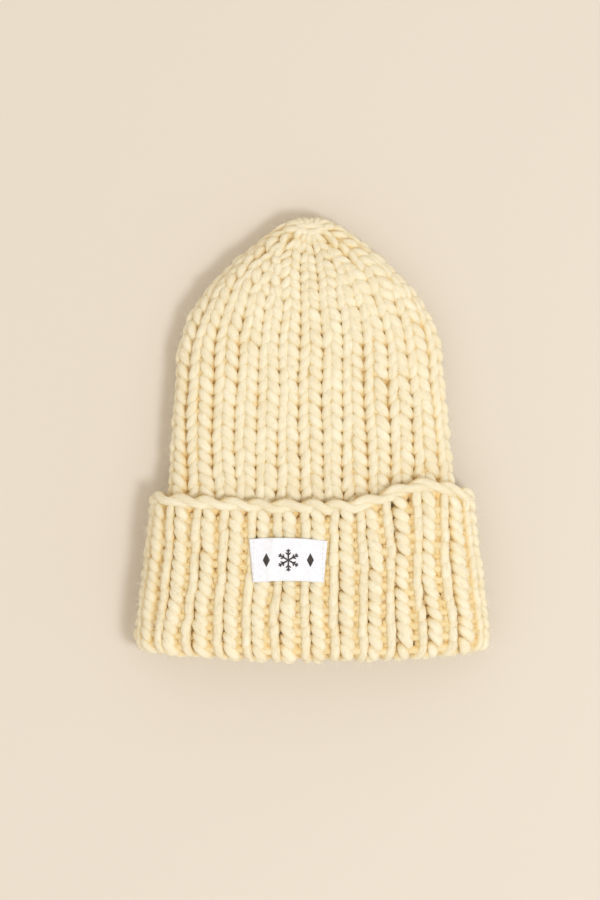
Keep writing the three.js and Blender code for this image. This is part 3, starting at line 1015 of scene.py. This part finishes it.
def fuzz_material():
    """The same wool as single fibres: paler, and too fine for any strands of their own."""
    mat, tree, shader = new_material("wool_fibre", {"Roughness": 0.9, GLOSS: 0.1, SHEEN: 0.4})
    place = tree.nodes.new("ShaderNodeTexCoord").outputs["Object"]
    noise = noise_at(tree, place, Scale=90.0, Detail=2.0)
    tree.links.new(coloured(tree, noise, *FUZZ_TONES), shader.inputs[BASE_COLOUR])
    return mat


THREAD_HEIGHT = 0.12     # of the woven threads' relief, in mm
TONE_PLACES = (0.35, 0.65)


def thread_material(name, place_of, colours, roughness, ridges, strength):
    """Fine woven or stitched thread: its colour varies a little from place to place, and a set
    of ridges runs along each of its directions."""
    mat, tree, shader = new_material(name, {"Roughness": roughness, SHEEN: 0.25, GLOSS: 0.3})
    place, noise_scale = place_of(tree)
    noise = noise_at(tree, place, Scale=noise_scale, Detail=3.0)
    tree.links.new(coloured(tree, noise, *zip(TONE_PLACES, colours)), shader.inputs[BASE_COLOUR])
    relief = None
    for direction, ridge_scale in ridges:
        wave = node(tree, "ShaderNodeTexWave", Scale=ridge_scale, Distortion=0.6, Detail=1.0)
        wave.bands_direction = direction
        tree.links.new(place, wave.inputs["Vector"])
        relief = bump(tree, wave.outputs["Fac"], strength, THREAD_HEIGHT, relief)
    tree.links.new(relief, shader.inputs["Normal"])
    return mat


def on_label(tree):
    """Places along the label's strip, in mm, and the scale of its colour noise there."""
    return attribute(tree, "weave")["Vector"], 0.35


def in_space(tree):
    """Places in the shared frame, in metres, and the scale of the colour noise there."""
    return tree.nodes.new("ShaderNodeTexCoord").outputs["Object"], 350.0


def label_material():
    return thread_material(
        "label_cloth", on_label, colours=((0.86, 0.88, 0.93), (0.93, 0.95, 1.0)), roughness=0.5,
        ridges=(("X", 0.9), ("Y", 1.2)), strength=0.35)


def motif_material():
    return thread_material(
        "motif_thread", in_space, colours=((0.035, 0.028, 0.026), (0.07, 0.055, 0.05)), roughness=0.6,
        ridges=(("X", 700.0), ("Y", 900.0)), strength=0.5)


def cotton_material():
    return thread_material(
        "sewing_thread", in_space, colours=((0.80, 0.80, 0.82), (0.88, 0.88, 0.90)), roughness=0.5,
        ridges=(("DIAGONAL", 900.0),), strength=0.6)


# ---- The stage ----

# From here on places and sizes are in metres.
FLOOR_SIZE = 3.0         # from its middle to its edges
FLOOR_COLOUR = (0.73, 0.669, 0.58, 1)
SKY_COLOUR = (1.0, 0.915, 0.82, 1)
SKY_STRENGTH = 0.875
KEY_PLACE = (0.9, -0.56, 2.27)   # above the right of the brim, so shadows fall up and left
KEY_SIZE = 0.6
KEY_POWER = 24.2
KEY_COLOUR = (0.85, 0.92, 1.0)


def make_floor():
    mesh = bpy.data.meshes.new("floor")
    corners = [(x * FLOOR_SIZE, y * FLOOR_SIZE, 0) for x, y in ((-1, -1), (1, -1), (1, 1), (-1, 1))]
    mesh.from_pydata(corners, [], [(0, 1, 2, 3)])
    floor = bpy.data.objects.new("floor", mesh)
    bpy.context.collection.objects.link(floor)
    mat, _, _ = new_material("floor", {BASE_COLOUR: FLOOR_COLOUR, "Roughness": 0.95, GLOSS: 0.1})
    mesh.materials.append(mat)


def make_lights():
    """A bright sky all round and one large soft lamp."""
    scene = bpy.context.scene
    scene.view_settings.view_transform = "Standard"
    scene.world = bpy.data.worlds.new("studio")
    scene.world.use_nodes = True
    background = scene.world.node_tree.nodes["Background"]
    set_inputs(background, {"Color": SKY_COLOUR, "Strength": SKY_STRENGTH})
    data = bpy.data.lights.new("key", "AREA")
    data.shape = "DISK"
    data.size = KEY_SIZE
    data.energy = KEY_POWER
    data.color = KEY_COLOUR
    light = bpy.data.objects.new("key", data)
    light.location = KEY_PLACE
    light.rotation_euler = (-Vector(KEY_PLACE)).to_track_quat("-Z", "Y").to_euler()
    bpy.context.collection.objects.link(light)


make_camera()
make_floor()
make_lights()
build_knit(wool_material(), fuzz_material())
build_label(label_material())
build_motif(motif_material())
build_stitching(cotton_material())
